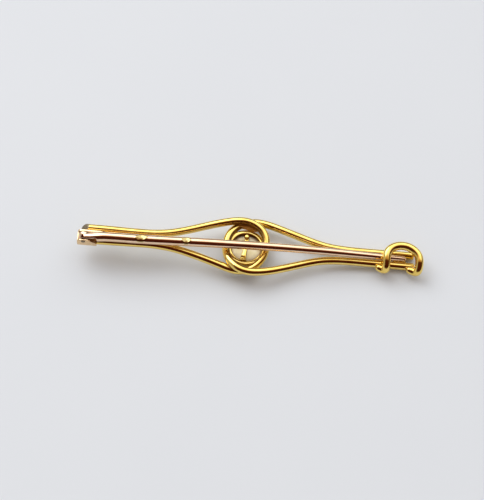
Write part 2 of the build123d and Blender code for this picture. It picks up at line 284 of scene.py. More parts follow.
def slab(name, outline, to3d, thickness, bevel=0.05, steps=4):
    """A plate with rounded edges: outline in local 2-D, to3d(xy, w) gives mm positions."""
    out = np.asarray(outline, float)
    c = out.mean(0)
    nxt, prv = np.roll(out, -1, 0), np.roll(out, 1, 0)
    tan = nxt - prv
    area = 0.5 * np.sum(out[:, 0] * nxt[:, 1] - nxt[:, 0] * out[:, 1])
    nrm = np.column_stack([tan[:, 1], -tan[:, 0]]) * np.sign(area)
    nrm /= np.linalg.norm(nrm, axis=1)[:, None] + 1e-12
    levels = []
    for k in range(steps + 1):
        a = math.radians(90 * k / steps)
        levels.append((bevel * (1 - math.sin(a)), bevel * (1 - math.cos(a))))
    rings = [(ins, w) for ins, w in levels] + [(ins, thickness - w) for ins, w in levels[::-1]]
    verts, faces = [], []
    n = len(out)
    for ins, w in rings:
        q = out - nrm * ins
        verts += [to3d(q[i], w) for i in range(n)]
    for j in range(len(rings) - 1):
        for i in range(n):
            i2 = (i + 1) % n
            faces.append((j * n + i, j * n + i2, (j + 1) * n + i2, (j + 1) * n + i))
    faces.append(tuple(range(n))[::-1])
    faces.append(tuple((len(rings) - 1) * n + i for i in range(n)))
    ob = obj_from(name, np.array(verts), faces)
    fix_normals(ob)
    smooth(ob, 40)
    return ob


def fix_normals(ob):
    bm = bmesh.new()
    bm.from_mesh(ob.data)
    bmesh.ops.recalc_face_normals(bm, faces=bm.faces)
    bm.to_mesh(ob.data)
    bm.free()


def apply_mods(ob):
    dg = bpy.context.evaluated_depsgraph_get()
    dg.update()
    me = bpy.data.meshes.new_from_object(ob.evaluated_get(dg), preserve_all_data_layers=True, depsgraph=dg)
    ob.modifiers.clear()
    old = ob.data
    ob.data = me
    me.name = ob.name
    bpy.data.meshes.remove(old)
    smooth(ob)


def boolean(ob, other, kind):
    """Exact boolean, done at 1000 times scale for accuracy."""
    for o in (ob, other):
        o.data.transform(Matrix.Scale(1000, 4))
    m = ob.modifiers.new("b", "BOOLEAN")
    m.operation, m.object, m.solver = kind, other, "EXACT"
    apply_mods(ob)
    ob.data.transform(Matrix.Scale(0.001, 4))
    bpy.data.objects.remove(other)


def fuse(ob, voxel, rounds=6, strength=0.5):
    """Voxel remesh and relax, so that joined bars flow into each other."""
    ob.data.transform(Matrix.Scale(1000, 4))
    m = ob.modifiers.new("r", "REMESH")
    m.mode, m.voxel_size, m.adaptivity = "VOXEL", voxel, 0.0
    s = ob.modifiers.new("s", "CORRECTIVE_SMOOTH")
    s.factor, s.iterations, s.smooth_type, s.use_only_smooth = strength, rounds, "SIMPLE", True
    apply_mods(ob)
    ob.data.transform(Matrix.Scale(0.001, 4))
    smooth(ob)


def join(name, obs):
    bm = bmesh.new()
    for o in obs:
        bm.from_mesh(o.data)
    me = bpy.data.meshes.new(name)
    bm.to_mesh(me)
    bm.free()
    for o in obs:
        bpy.data.objects.remove(o)
    ob = bpy.data.objects.new(name, me)
    bpy.context.scene.collection.objects.link(ob)
    smooth(ob)
    return ob


def near(co, pts, reach):
    """1 where co touches a cloud of points, fading to 0 at reach."""
    out = np.zeros(len(co))
    for i in range(0, len(co), 4000):
        d = np.linalg.norm(co[i:i + 4000, None, :] - pts[None, :, :], axis=2).min(1)
        out[i:i + 4000] = np.clip(1 - d / reach, 0, 1) ** 1.5
    return out


# ------------------------------------------------------------------ frame wires
left = tube("left_loop", LEFT, WIRE_R, cap0="flat", cap1="flat", bevel=0.09, seed=3)
# the far end is cut on a slant
cut = slab("cut", [(-26.5, -1.2), (-24.25 - 0.29, -1.2), (-22.45, 0.95), (-26.5, 0.95)],
           lambda q, w: P((q[0], -1.0 + w, q[1])), 4.0, 0.001, 1)
cut.data.transform(Matrix.Identity(4))
for v in cut.data.vertices:
    v.co.y = 0.0 if v.co.y < 0.0005 else 0.003
boolean(left, cut, "DIFFERENCE")
smooth(left, 50)
right = tube("right_loop", RIGHT, WIRE_R, cap0="flat", cap1="flat", bevel=0.06, seed=5)


# ------------------------------------------------------------------ centre ring and its fittings
ring_prof = rounded([(RING_MEAN_R - RING_W / 2, -RING_T / 2), (RING_MEAN_R + RING_W / 2, -RING_T / 2),
                     (RING_MEAN_R + RING_W / 2, RING_T / 2), (RING_MEAN_R - RING_W / 2, RING_T / 2)], 0.30, 7)


def hand_made(rz, a):
    q = rz.copy()
    q[:, 0] += 0.012 * math.sin(3 * a + 0.6) + 0.008 * math.sin(7 * a)
    return q


ring = lathe("centre_ring_wire", ring_prof, P((RX, RY, RING_Z)), 160, hand_made)

plate_prof = [(0.0, 0.26), (1.6, 0.26), (2.22, 0.26), (2.34, 0.24), (2.41, 0.18), (2.42, 0.10), (2.38, 0.03),
              (2.28, 0.0), (2.16, 0.0), (2.08, 0.02), (2.02, 0.055), (1.92, 0.062), (1.5, 0.055), (1.34, 0.02),
              (1.25, 0.0), (0.6, 0.0), (0.0, 0.0)]
plate = lathe("front_disc", plate_prof, P((RX, RY, CUP_Z)), 160)


def milgrain(rz, a):
    q = rz.copy()
    bump = 0.5 + 0.5 * math.cos(28 * a)
    low = q[:, 1] < -0.2
    q[low, 1] -= 0.035 * bump
    q[low, 0] += np.where(q[low, 0] > 1.03, 0.02, -0.004) * bump
    return q


collet = lathe("collet_rim", rounded([(1.015, 0.02), (1.30, 0.02), (1.25, -0.14), (1.12, -0.31), (1.00, -0.31),
                                      (1.012, -0.14)], 0.05, 4), P((RX, RY, CUP_Z)), 224, milgrain)

# half pearl
prof = [(0.0, 0.0)] + [(0.955 * f, 0.0) for f in (0.5, 0.9, 0.98)]
a0 = math.degrees(math.acos(0.2))
for a in np.linspace(a0 + 4, 0.0, 26):
    prof.append((1.0 * math.sin(math.radians(a)), 0.2 - math.cos(math.radians(a))))
prof[-1] = (0.0, -0.8)
pearl = lathe("half_pearl_bead", prof, P((RX, RY, CUP_Z)), 96)

# crossbar: a small hand-cut strip with a round grain near its far end and a splayed claw at the near end
BAR_Z = RING_Z - 0.02


def strip(name, stations, sec=20):
    """Loft of superellipse sections: (x, y, z, half width, half height)."""
    st = np.array(stations, float)
    s = spline(st, 0.05)
    verts, faces = [], []
    ang = np.linspace(0, 2 * np.pi, sec, endpoint=False)
    for i, (x, y, z, w, h) in enumerate(s):
        c, sn = np.cos(ang), np.sin(ang)
        px = np.sign(c) * np.abs(c) ** 0.7 * w
        pz = np.sign(sn) * np.abs(sn) ** 0.7 * h
        for k in range(sec):
            verts.append(P((x + px[k], y, z + pz[k])))
    for i in range(len(s) - 1):
        for k in range(sec):
            k2 = (k + 1) % sec
            faces.append((i * sec + k, i * sec + k2, (i + 1) * sec + k2, (i + 1) * sec + k))
    faces.append(tuple(range(sec))[::-1])
    faces.append(tuple((len(s) - 1) * sec + k for k in range(sec)))
    ob = obj_from(name, np.array(verts), faces)
    fix_normals(ob)
    return ob


crossbar = strip("crossbar_strip", [
    (RX + 0.04, RY + 2.26, BAR_Z, 0.30, 0.20), (RX + 0.06, RY + 1.90, BAR_Z + 0.02, 0.34, 0.22),
    (RX + 0.05, RY + 1.20, BAR_Z, 0.30, 0.21), (RX - 0.02, RY + 0.40, BAR_Z - 0.01, 0.29, 0.20),
    (RX - 0.14, RY - 0.50, BAR_Z, 0.30, 0.20), (RX - 0.26, RY - 1.20, BAR_Z + 0.01, 0.36, 0.22),
    (RX - 0.36, RY - 1.80, BAR_Z + 0.01, 0.44, 0.23), (RX - 0.40, RY - 2.26, BAR_Z, 0.43, 0.22)])
fuse(crossbar, 0.030, 4)

bead_prof = [(0.0, -0.34), (0.16, -0.33), (0.28, -0.27), (0.36, -0.16), (0.40, -0.02), (0.385, 0.12), (0.33, 0.23),
             (0.24, 0.31), (0.15, 0.345), (0.08, 0.335), (0.04, 0.325), (0.0, 0.32)]
bead = lathe("crossbar_grain", bead_prof, P((RX + 0.00, RY + 1.62, BAR_Z + 0.38)), 48)
claw = strip("crossbar_foot", [
    (RX - 0.47, RY - 1.30, BAR_Z + 0.10, 0.20, 0.16), (RX - 0.45, RY - 1.60, BAR_Z + 0.20, 0.26, 0.20),
    (RX - 0.40, RY - 1.90, BAR_Z + 0.27, 0.40, 0.24), (RX - 0.35, RY - 2.20, BAR_Z + 0.29, 0.52, 0.22)])
fuse(claw, 0.030, 5)

# ------------------------------------------------------------------ hinge
EL = HX - 0.90
LR = HX + 1.95
out = rounded([(EL, LUG_OUT), (LR, LUG_OUT), (LR, LUG_OUT + 0.70),
               (HX + 2.85, EAR_IN - 0.10), (HX + 2.85, EAR_OUT), (EL, EAR_OUT)], 0.16, 5)
base = slab("base", out, lambda q, w: P((q[0], q[1], BASE_TOP - 0.42 + w)), 0.42, 0.06)
out = rounded([(EL, BASE_TOP - 0.2), (HX + 2.85, BASE_TOP - 0.2), (HX + 2.85, HZ - 0.02), (HX + 2.60, HZ + 0.27),
               (EL + 0.34, HZ + 0.34), (EL, HZ + 0.04)], 0.22, 6)
ear = slab("ear", out, lambda q, w: P((q[0], EAR_IN + w, q[1])), 0.34, 0.06)
out = rounded([(EL, BASE_TOP - 0.18), (LR, BASE_TOP - 0.18), (LR, BASE_TOP + 0.17), (HX + 0.75, HZ + 0.32),
               (HX - 0.45, HZ + 0.36), (EL + 0.14, HZ + 0.15), (EL, HZ - 0.07)], 0.20, 6)
lug = slab("lug", out, lambda q, w: P((q[0], LUG_OUT + w, q[1])), 0.28, 0.07)
out = rounded([(EL, LUG_OUT + 0.01), (EL + 0.19, LUG_OUT + 0.01), (EL + 0.19, EAR_OUT - 0.01),
               (EL, EAR_OUT - 0.01)], 0.15, 5)
wall = slab("wall", out, lambda q, w: P((q[0], q[1], BASE_TOP - 0.2 + w)), HZ - 0.06 - BASE_TOP + 0.2, 0.06)
boolean(base, wall, "UNION")
boolean(base, ear, "UNION")
boolean(base, lug, "UNION")
base.name = "hinge_joint"
smooth(base, 35)


def y_lathe(name, profile, x, z, segs=64):
    """Turn (r, y) about the line parallel to Y through x, z."""
    ob = lathe(name, [(r, y) for r, y in profile], (0, 0, 0), segs)
    # lathe's Z becomes Y
    M = Matrix(((1, 0, 0, 0), (0, 0, 1, 0), (0, -1, 0, 0), (0, 0, 0, 1)))
    ob.data.transform(M)
    c = P((x, 0, z)) * 0.001
    c[1] = OFF[1] * 0.001
    ob.data.transform(Matrix.Translation(Vector(c)))
    fix_normals(ob)
    return ob


rv = [(0.0, LUG_OUT - 0.058), (0.16, LUG_OUT - 0.056), (0.26, LUG_OUT - 0.045), (0.32, LUG_OUT - 0.018),
      (0.33, LUG_OUT),
      (0.26, LUG_OUT + 0.005), (0.26, EAR_OUT - 0.005), (0.38, EAR_OUT), (0.36, EAR_OUT + 0.045), (0.28, EAR_OUT + 0.10),
      (0.16, EAR_OUT + 0.127), (0.0, EAR_OUT + 0.13)]
rivet = y_lathe("hinge_pin", rv, HX, HZ)

# ------------------------------------------------------------------ stem
xs = [q[0] for q in STEM]


def stem_at(x):
    i = max(j for j in range(len(STEM) - 1) if STEM[j][0] <= x + 1e-9)
    a, b = STEM[i], STEM[i + 1]
    h = b[0] - a[0]
    t = (x - a[0]) / h

    def slope(j, k):
        lo, hi = max(j - 1, 0), min(j + 1, len(STEM) - 1)
        return (STEM[hi][k] - STEM[lo][k]) / (STEM[hi][0] - STEM[lo][0])

    res = []
    for k in (1, 2, 3):
        m0 = 0.0 if i == 0 and k != 3 else slope(i, k)
        m1 = slope(i + 1, k)
        res.append((2 * t**3 - 3 * t**2 + 1) * a[k] + (t**3 - 2 * t**2 + t) * h * m0
                   + (-2 * t**3 + 3 * t**2) * b[k] + (t**3 - t**2) * h * m1)
    return res


sx = np.arange(STEM[0][0], STEM[-1][0] + 1e-6, 0.0665)
sd = np.array([stem_at(min(x, STEM[-1][0])) for x in sx])
stem_path = P(np.column_stack([sx, sd[:, 0], sd[:, 1]]))
stem = tube("stem_wire", stem_path, sd[:, 2], segs=64, cap0="flat", cap1="dome", bevel=0.05, uneven=0.003, seed=11)
# knuckle barrel with softened rims
kn = [(0.0, HY - 0.62), (0.55, HY - 0.62), (0.63, HY - 0.60), (0.665, HY - 0.53), (0.67, HY - 0.45), (0.67, HY + 0.50),
      (0.665, HY + 0.57), (0.63, HY + 0.62), (0.56, HY + 0.64), (0.0, HY + 0.64)]
knuckle = y_lathe("knuckle", kn, HX, HZ, 72)
boolean(stem, knuckle, "UNION")
c = slab("c", [(HX - 1.2, -1.0), (HX + 3.3, -1.0), (HX + 3.3, 3.5), (HX - 1.2, 3.5)],
         lambda q, w: P((q[0], EAR_IN - 0.05 + w, q[1])), 2.0, 0.001, 1)
boolean(stem, c, "DIFFERENCE")
pocket = y_lathe("pocket", [(0.0, LUG_IN + 0.04 - 1.5), (2.02, LUG_IN + 0.04 - 1.5), (2.02, LUG_IN + 0.04),
                            (0.0, LUG_IN + 0.04)], HX, HZ, 128)
boolean(stem, pocket, "DIFFERENCE")
hole = y_lathe("hole", [(0.0, HY - 1.5), (0.285, HY - 1.5), (0.285, HY + 1.5), (0.0, HY + 1.5)], HX, HZ, 48)
boolean(stem, hole, "DIFFERENCE")


# two generic punch dimples: a shallow lozenge and a shallow rounded square, each with a raised burr
def punch(x, y, rx, ry, depth, tilt):
    co = coords(stem)
    z = float(np.interp(x, sx, sd[:, 1]) + np.interp(x, sx, sd[:, 2]))
    yc = float(np.interp(x, sx, sd[:, 0])) + y
    c = P((x, yc, z))
    d = co - c
    ca, sa = math.cos(tilt), math.sin(tilt)
    u, v = d[:, 0] * ca + d[:, 1] * sa, -d[:, 0] * sa + d[:, 1] * ca
    q = (np.abs(u / rx) ** 1.6 + np.abs(v / ry) ** 1.6) ** (1 / 1.6)
    up = d[:, 2] > -0.45
    dent = np.where(q < 1, -(1 - q**3), 0) + np.where((q >= 1) & (q < 1.6), 0.30 * np.sin((q - 1) / 0.6 * math.pi), 0)
    co[:, 2] += np.where(up, dent * depth, 0)
    stem.data.vertices.foreach_set("co", (co * 0.001).ravel())
    stem.data.update()
    return np.where(up & (q < 1.5), 1.0, 0.0)


# ------------------------------------------------------------------ catch
hook_r = np.full(len(HOOK), 0.612)
s = np.linspace(0, 1, len(HOOK))
end = np.minimum(s, 1 - s)
hook_r *= 0.80 + 0.20 * np.clip(end / 0.07, 0, 1) ** 0.6
hook = tube("hook_wire", HOOK, hook_r, segs=56, cap0="dome", cap1="dome", uneven=0.008, seed=21)
fuse(hook, 0.040, 8)


# ------------------------------------------------------------------ solder
def blob(name, a, b, r, seed, squash=(1, 1, 1), spread=0.0):
    """A smeared seam of solder from a to b, uneven, thinning towards its ends."""
    a, b = np.asarray(a, float), np.asarray(b, float)
    n = 26
    path = np.array([a + (b - a) * i / (n - 1) for i in range(n)])
    rg = np.random.default_rng(seed)
    s_ = np.linspace(-1, 1, n)
    rad = r * np.sqrt(np.clip(1 - s_**2, 0.01, 1)) * (1 + 0.10 * np.sin(5 * s_ + seed))
    path = path + rg.normal(scale=0.010, size=path.shape)
    ob = tube(name, P(path), rad, segs=36, cap0="dome", cap1="dome", uneven=0.02, seed=seed)
    co = coords(ob)
    ph = rg.uniform(0, 6.28, 3)
    nz = np.sin(co[:, 0] * 7 + ph[0]) * np.sin(co[:, 1] * 8 + ph[1]) * np.sin(co[:, 2] * 9 + ph[2])
    m = co.mean(0)
    d = co - m
    co = m + d * (1 + 0.06 * nz[:, None])
    ob.data.vertices.foreach_set("co", (co * 0.001).ravel())
    smooth(ob)
    return ob


solder = {
    "solder_knot_far": blob("seam_knot_far", (-1.15, 3.55, -0.30), (1.95, 3.00, -0.30), 0.42, 31),
    "solder_knot_near": blob("seam_knot_near", (-2.4, -3.12, -0.02), (-0.2, -3.85, 0.0), 0.29, 32),
    "solder_ring_left": blob("seam_ring_left", (RX - 2.64, RY - 1.0, -0.56), (RX - 2.64, RY + 0.5, -0.62), 0.21, 33),
    "solder_ring_right": blob("seam_ring_right", (RX + 2.62, RY - 0.5, -0.62), (RX + 2.60, RY + 1.0, -0.54), 0.21, 34),
    "solder_hinge_far": blob("seam_hinge_far", (HX + 0.45, EAR_OUT + 0.12, 0.05), (HX + 2.6, EAR_OUT + 0.10, 0.05),
                             0.23, 35),
    "solder_hinge_near": blob("seam_hinge_near", (HX + 0.80, -0.98, -0.10), (HX + 2.10, -0.98, -0.36), 0.33, 36),
    "solder_bars_left": blob("seam_bars_left", (HX + 3.0, 0.0, -0.30), (HX + 5.2, 0.0, -0.30), 0.41, 37),
    "solder_bars_right": blob("seam_bars_right", (21.6, -0.09, -0.32), (23.5, -0.09, -0.32), 0.41, 38),
    "solder_catch_left": blob("seam_catch_left", (19.10, -1.42, 0.36), (20.55, -1.62, 0.34), 0.25, 39),
    "solder_catch_right": blob("seam_catch_right", (23.25, -1.40, 0.34), (24.20, -1.54, 0.34), 0.25, 40),
}

# ------------------------------------------------------------------ attribute of tarnish and painted shade: 1 in crevices where parts meet
marks = np.zeros(len(stem.data.vertices))
marks = np.maximum(marks, punch(-15.15, -0.08, 0.64, 0.42, 0.075, 0.25))
marks = np.maximum(marks, punch(-8.65, -0.04, 0.48, 0.42, 0.075, -0.1))
ring_pts = P(np.array([(RX + RING_MEAN_R * math.cos(a), RY + RING_MEAN_R * math.sin(a), RING_Z)
                       for a in np.linspace(0, 2 * math.pi, 120)]))
foot_pts = np.vstack([HOOK[:14], HOOK[-14:]])
hinge_pts = P(np.array([(HX + u_, EAR_OUT, z_) for u_ in np.linspace(0, 2.8, 12) for z_ in (0.0, 0.3)]))
bar_pts = P(np.array([(RX - 0.4, RY - 2.2, BAR_Z), (RX, RY + 2.2, BAR_Z)]))
set_attr(left, np.maximum.reduce([near(coords(left), RIGHT[::3], 1.12), near(coords(left), ring_pts, 1.15),
                                  near(coords(left), hinge_pts, 0.6)]))
set_attr(right, np.maximum.reduce([near(coords(right), LEFT[::3], 1.12), near(coords(right), ring_pts, 1.15),
                                   near(coords(right), foot_pts, 1.0)]))
rc = coords(ring)
rr = np.linalg.norm(rc[:, :2] - P((RX, RY, 0))[:2], axis=1)
# the ring's inner wall is painted darker, which is painted shade; near the wires and crossbar it is tarnish and
# painted shade
set_attr(ring, np.maximum.reduce([np.clip((RING_MEAN_R - 0.13 - rr) / 0.15, 0, 1) * 0.95,
                                  near(rc, LEFT[::3], 1.15), near(rc, RIGHT[::3], 1.15), near(rc, bar_pts, 1.0)]))
set_attr(hook, np.maximum(near(coords(hook), RIGHT[::3], 0.85), 0))
xc = coords(crossbar)
# the crossbar darkens toward its lower side, which is painted shade
set_attr(crossbar, np.clip(near(xc, ring_pts, 0.9) + 0.9 * np.clip((BAR_Z + OFF[2] + 0.10 - xc[:, 2]) / 0.25, 0, 1), 0, 1))
set_attr(bead, near(coords(bead), P(np.array([(RX, RY + 1.62, BAR_Z)])), 0.45))
set_attr(claw, near(coords(claw), ring_pts, 0.8) * 0.7 + 0.15)
set_attr(plate, near(coords(plate), ring_pts, 0.75))
cc = coords(collet)
set_attr(collet, np.clip((CUP_Z + OFF[2] - cc[:, 2]) < 0.08, 0, 1) * 0.6)
bc = coords(base)
set_attr(base, np.maximum(near(bc, hinge_pts, 0.45), near(bc, P(np.array([(HX, EAR_IN, BASE_TOP)])), 0.8)))
set_attr(rivet, np.full(len(rivet.data.vertices), 0.35))
st = coords(stem)
set_attr(stem, np.maximum(0.75 * np.clip(1 - np.linalg.norm(st - P((HX, LUG_IN, HZ)), axis=1) / 0.9, 0, 1), 0))
set_attr(stem, marks, "mark")
for o in solder.values():
    set_attr(o, np.full(len(o.data.vertices), 0.30))


def paint_knot_inner_shade(ob, reach=4.7, amount=0.85):
    """Painted shade: darker on the faces that look into the knot."""
    co = coords(ob)
    no = np.zeros(len(co) * 3)
    ob.data.vertices.foreach_get("normal", no)
    no = no.reshape(-1, 3)
    d = P((RX, RY, 0.0))[:2] - co[:, :2]
    dist = np.linalg.norm(d, axis=1)
    inward = np.einsum("ij,ij->i", no[:, :2], d / (dist[:, None] + 1e-9))
    add = np.clip((inward - 0.15) * 1.5, 0, 1) * np.clip((reach - dist) / 1.2, 0, 1) * amount
    old = np.zeros(len(co), np.float32)
    ob.data.attributes["tarnish_and_shade"].data.foreach_get("value", old)
    set_attr(ob, np.clip(np.maximum(old, add), 0, 1))


paint_knot_inner_shade(left)
paint_knot_inner_shade(right)
paint_knot_inner_shade(ring, 4.0, 0.75)

# ------------------------------------------------------------------ materials
def metal(name, light, deep, tarnish_shade_rgb, rough=(0.05, 0.14), scratch=0.35, mark=None):
    m = bpy.data.materials.new(name)
    m.use_nodes = True
    nt = m.node_tree
    N, L = nt.nodes, nt.links
    b = N["Principled BSDF"]
    b.inputs["Metallic"].default_value = 1.0
    tc = N.new("ShaderNodeTexCoord")
    # slow colour drift
    n1 = N.new("ShaderNodeTexNoise")
    n1.inputs["Scale"].default_value = 620
    n1.inputs["Detail"].default_value = 4
    L.new(tc.outputs["Object"], n1.inputs["Vector"])
    r1 = N.new("ShaderNodeValToRGB")
    r1.color_ramp.elements[0].position, r1.color_ramp.elements[1].position = 0.35, 0.68
    r1.color_ramp.elements[0].color = (*deep, 1)
    r1.color_ramp.elements[1].color = (*light, 1)
    L.new(n1.outputs["Fac"], r1.inputs["Fac"])
    # tarnish and painted shade mixed in where the crevice attribute is high, broken up by a fine noise
    at = N.new("ShaderNodeAttribute")
    at.attribute_name = "tarnish_and_shade"
    n2 = N.new("ShaderNodeTexNoise")
    n2.inputs["Scale"].default_value = 5200
    n2.inputs["Detail"].default_value = 5
    L.new(tc.outputs["Object"], n2.inputs["Vector"])
    mu = N.new("ShaderNodeMath")
    mu.operation = "MULTIPLY_ADD"
    mu.inputs[1].default_value = 0.5
    mu.inputs[2].default_value = -0.30
    L.new(n2.outputs["Fac"], mu.inputs[0])
    ad = N.new("ShaderNodeMath")
    ad.operation = "ADD"
    ad.use_clamp = True
    L.new(at.outputs["Fac"], ad.inputs[0])
    L.new(mu.outputs[0], ad.inputs[1])
    mx = N.new("ShaderNodeMix")
    mx.data_type = "RGBA"
    L.new(ad.outputs[0], mx.inputs["Factor"])
    L.new(r1.outputs["Color"], mx.inputs["A"])
    mx.inputs["B"].default_value = (*tarnish_shade_rgb, 1)
    colour = mx.outputs["Result"]
    if mark:
        am = N.new("ShaderNodeAttribute")
        am.attribute_name = "mark"
        m3 = N.new("ShaderNodeMix")
        m3.data_type = "RGBA"
        L.new(am.outputs["Fac"], m3.inputs["Factor"])
        L.new(colour, m3.inputs["A"])
        m3.inputs["B"].default_value = (*mark, 1)
        colour = m3.outputs["Result"]
    L.new(colour, b.inputs["Base Color"])
    # drawing lines along X and short random scratches
    mp = N.new("ShaderNodeMapping")
    mp.inputs["Scale"].default_value = (260, 9000, 9000)
    L.new(tc.outputs["Object"], mp.inputs["Vector"])
    n3 = N.new("ShaderNodeTexNoise")
    n3.inputs["Scale"].default_value = 1.0
    n3.inputs["Detail"].default_value = 3
    L.new(mp.outputs["Vector"], n3.inputs["Vector"])
    n4 = N.new("ShaderNodeTexNoise")
    n4.inputs["Scale"].default_value = 2400
    n4.inputs["Detail"].default_value = 6
    n4.inputs["Roughness"].default_value = 0.65
    L.new(tc.outputs["Object"], n4.inputs["Vector"])
    mr = N.new("ShaderNodeMapRange")
    mr.inputs["From Min"].default_value, mr.inputs["From Max"].default_value = 0.3, 0.75
    mr.inputs["To Min"].default_value, mr.inputs["To Max"].default_value = rough
    L.new(n4.outputs["Fac"], mr.inputs["Value"])
    ra = N.new("ShaderNodeMath")
    ra.operation = "MULTIPLY_ADD"
    ra.inputs[1].default_value = 0.30
    L.new(ad.outputs[0], ra.inputs[0])
    L.new(mr.outputs["Result"], ra.inputs[2])
    L.new(ra.outputs[0], b.inputs["Roughness"])
    mh = N.new("ShaderNodeMath")
    mh.operation = "MULTIPLY_ADD"
    mh.inputs[1].default_value = 0.5
    L.new(n3.outputs["Fac"], mh.inputs[0])
    L.new(n4.outputs["Fac"], mh.inputs[2])
    bp = N.new("ShaderNodeBump")
    bp.inputs["Strength"].default_value = scratch
    bp.inputs["Distance"].default_value = 0.000012
    L.new(mh.outputs[0], bp.inputs["Height"])
    L.new(bp.outputs["Normal"], b.inputs["Normal"])
    return m


gold = metal("yellow_gold_worn_and_shaded", (0.950, 0.725, 0.225), (0.870, 0.610, 0.150), (0.20, 0.065, 0.010))
rose = metal("rose_gold_wire", (0.930, 0.690, 0.480), (0.860, 0.600, 0.390), (0.26, 0.080, 0.030), (0.05, 0.12), 0.25,
             mark=(0.52, 0.40, 0.17))
bracket = metal("bracket_pale_gold", (0.900, 0.690, 0.430), (0.800, 0.560, 0.310), (0.30, 0.120, 0.040), (0.16, 0.32))
seam = metal("solder_gold", (0.900, 0.600, 0.200), (0.780, 0.470, 0.140), (0.45, 0.200, 0.050), (0.20, 0.38), 0.6)
grey = metal("dull_grey_metal", (0.40, 0.33, 0.23), (0.22, 0.17, 0.11), (0.10, 0.07, 0.04), (0.26, 0.45), 0.6)
# the front disc gets a darker, greyer copy of the gold: that colour is painted shade, its rougher surface a matt
# finish
matt_shaded_gold = metal("gold_back_face", (0.600, 0.520, 0.370), (0.470, 0.385, 0.210), (0.30, 0.130, 0.030), (0.38, 0.55), 0.6)


def nacre():
    m = bpy.data.materials.new("pearl_nacre")
    m.use_nodes = True
    nt = m.node_tree
    N, L = nt.nodes, nt.links
    b = N["Principled BSDF"]
    tc = N.new("ShaderNodeTexCoord")
    n1 = N.new("ShaderNodeTexNoise")
    n1.inputs["Scale"].default_value = 900
    n1.inputs["Detail"].default_value = 3
    n1.inputs["Distortion"].default_value = 1.2
    L.new(tc.outputs["Object"], n1.inputs["Vector"])
    r = N.new("ShaderNodeValToRGB")
    r.color_ramp.elements[0].position, r.color_ramp.elements[1].position = 0.30, 0.70
    r.color_ramp.elements[0].color = (0.74, 0.66, 0.60, 1)
    r.color_ramp.elements[1].color = (0.88, 0.86, 0.80, 1)
    e = r.color_ramp.elements.new(0.5)
    e.color = (0.86, 0.78, 0.76, 1)
    L.new(n1.outputs["Fac"], r.inputs["Fac"])
    L.new(r.outputs["Color"], b.inputs["Base Color"])
    mr = N.new("ShaderNodeMapRange")
    mr.inputs["To Min"].default_value, mr.inputs["To Max"].default_value = 0.16, 0.30
    L.new(n1.outputs["Fac"], mr.inputs["Value"])
    L.new(mr.outputs["Result"], b.inputs["Roughness"])
    b.inputs["Coat Weight"].default_value = 0.5
    b.inputs["Coat Roughness"].default_value = 0.08
    b.inputs["Subsurface Weight"].default_value = 0.15
    b.inputs["Subsurface Scale"].default_value = 0.0004
    bp = N.new("ShaderNodeBump")
    bp.inputs["Strength"].default_value = 0.15
    bp.inputs["Distance"].default_value = 0.00001
    L.new(n1.outputs["Fac"], bp.inputs["Height"])
    L.new(bp.outputs["Normal"], b.inputs["Normal"])
    return m


pearl_mat = nacre()


def place(ob, mat, slot, body, *nodes):
    ob.data.materials.clear()
    ob.data.materials.append(mat)
    for p in ob.data.polygons:
        p.material_index = 0
    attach(ob, body)
    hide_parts(*nodes)


place(left, gold, "yellow_gold", "frame", "left_loop_wire")
place(right, gold, "yellow_gold", "frame", "right_loop_wire")
place(ring, gold, "yellow_gold", "frame", "centre_ring")
place(plate, matt_shaded_gold, "yellow_gold", "frame", "front_plate")
place(collet, gold, "yellow_gold", "frame", "pearl_collet")
place(crossbar, gold, "yellow_gold", "frame", "ring_crossbar")
place(bead, gold, "yellow_gold", "frame", "crossbar_bead")
place(claw, gold, "yellow_gold", "frame", "crossbar_claw")
place(base, bracket, "yellow_gold", "frame", "hinge_bracket")
place(hook, gold, "yellow_gold", "frame", "catch_hook")
place(pearl, pearl_mat, "pearl", "frame", "half_pearl")
place(rivet, grey, "rivet_metal", "frame", "hinge_rivet")
place(stem, rose, "rose_gold", "stem", "pin_stem")
for node, ob in solder.items():
    place(ob, seam, "gold_solder", "frame", node)

# the slanted cut face of the far wire is dull grey
left.data.materials.append(grey)
nrm = Vector((-(0.95 + 0.9), 0, (24.25 - 22.45))).normalized()
for p in left.data.polygons:
    if p.normal.dot(nrm) > 0.97 and p.center.x < -0.0225 and p.area > 0:
        if abs(p.normal.y) < 0.12:
            p.material_index = 1

# ------------------------------------------------------------------ stage, light, camera
TILT = math.radians(3.6)
n = Vector((-math.sin(TILT), 0, math.cos(TILT)))
D0 = -0.00007
z_dir = n
x_dir = Vector((math.cos(TILT), 0, math.sin(TILT)))
y_dir = z_dir.cross(x_dir)
R = Matrix((x_dir, y_dir, z_dir)).transposed().to_4x4()
me = bpy.data.meshes.new("table")
S = 3.0
me.from_pydata([(-S, -S, 0), (S, -S, 0), (S, S, 0), (-S, S, 0)], [], [(0, 1, 2, 3)])
table = bpy.data.objects.new("table", me)
table.matrix_world = Matrix.Translation(n * D0) @ R
bpy.context.scene.collection.objects.link(table)
fm = bpy.data.materials.new("pale_table")
fm.use_nodes = True
fb = fm.node_tree.nodes["Principled BSDF"]
fb.inputs["Roughness"].default_value = 0.75
fb.inputs["Specular IOR Level"].default_value = 0.2
ftc = fm.node_tree.nodes.new("ShaderNodeTexCoord")
fn = fm.node_tree.nodes.new("ShaderNodeTexNoise")
fn.inputs["Scale"].default_value = 30
fm.node_tree.links.new(ftc.outputs["Object"], fn.inputs["Vector"])
fr = fm.node_tree.nodes.new("ShaderNodeValToRGB")
fr.color_ramp.elements[0].color = (0.728, 0.750, 0.778, 1)
fr.color_ramp.elements[1].color = (0.752, 0.772, 0.799, 1)
fm.node_tree.links.new(fn.outputs["Fac"], fr.inputs["Fac"])
fm.node_tree.links.new(fr.outputs["Color"], fb.inputs["Base Color"])
me.materials.append(fm)


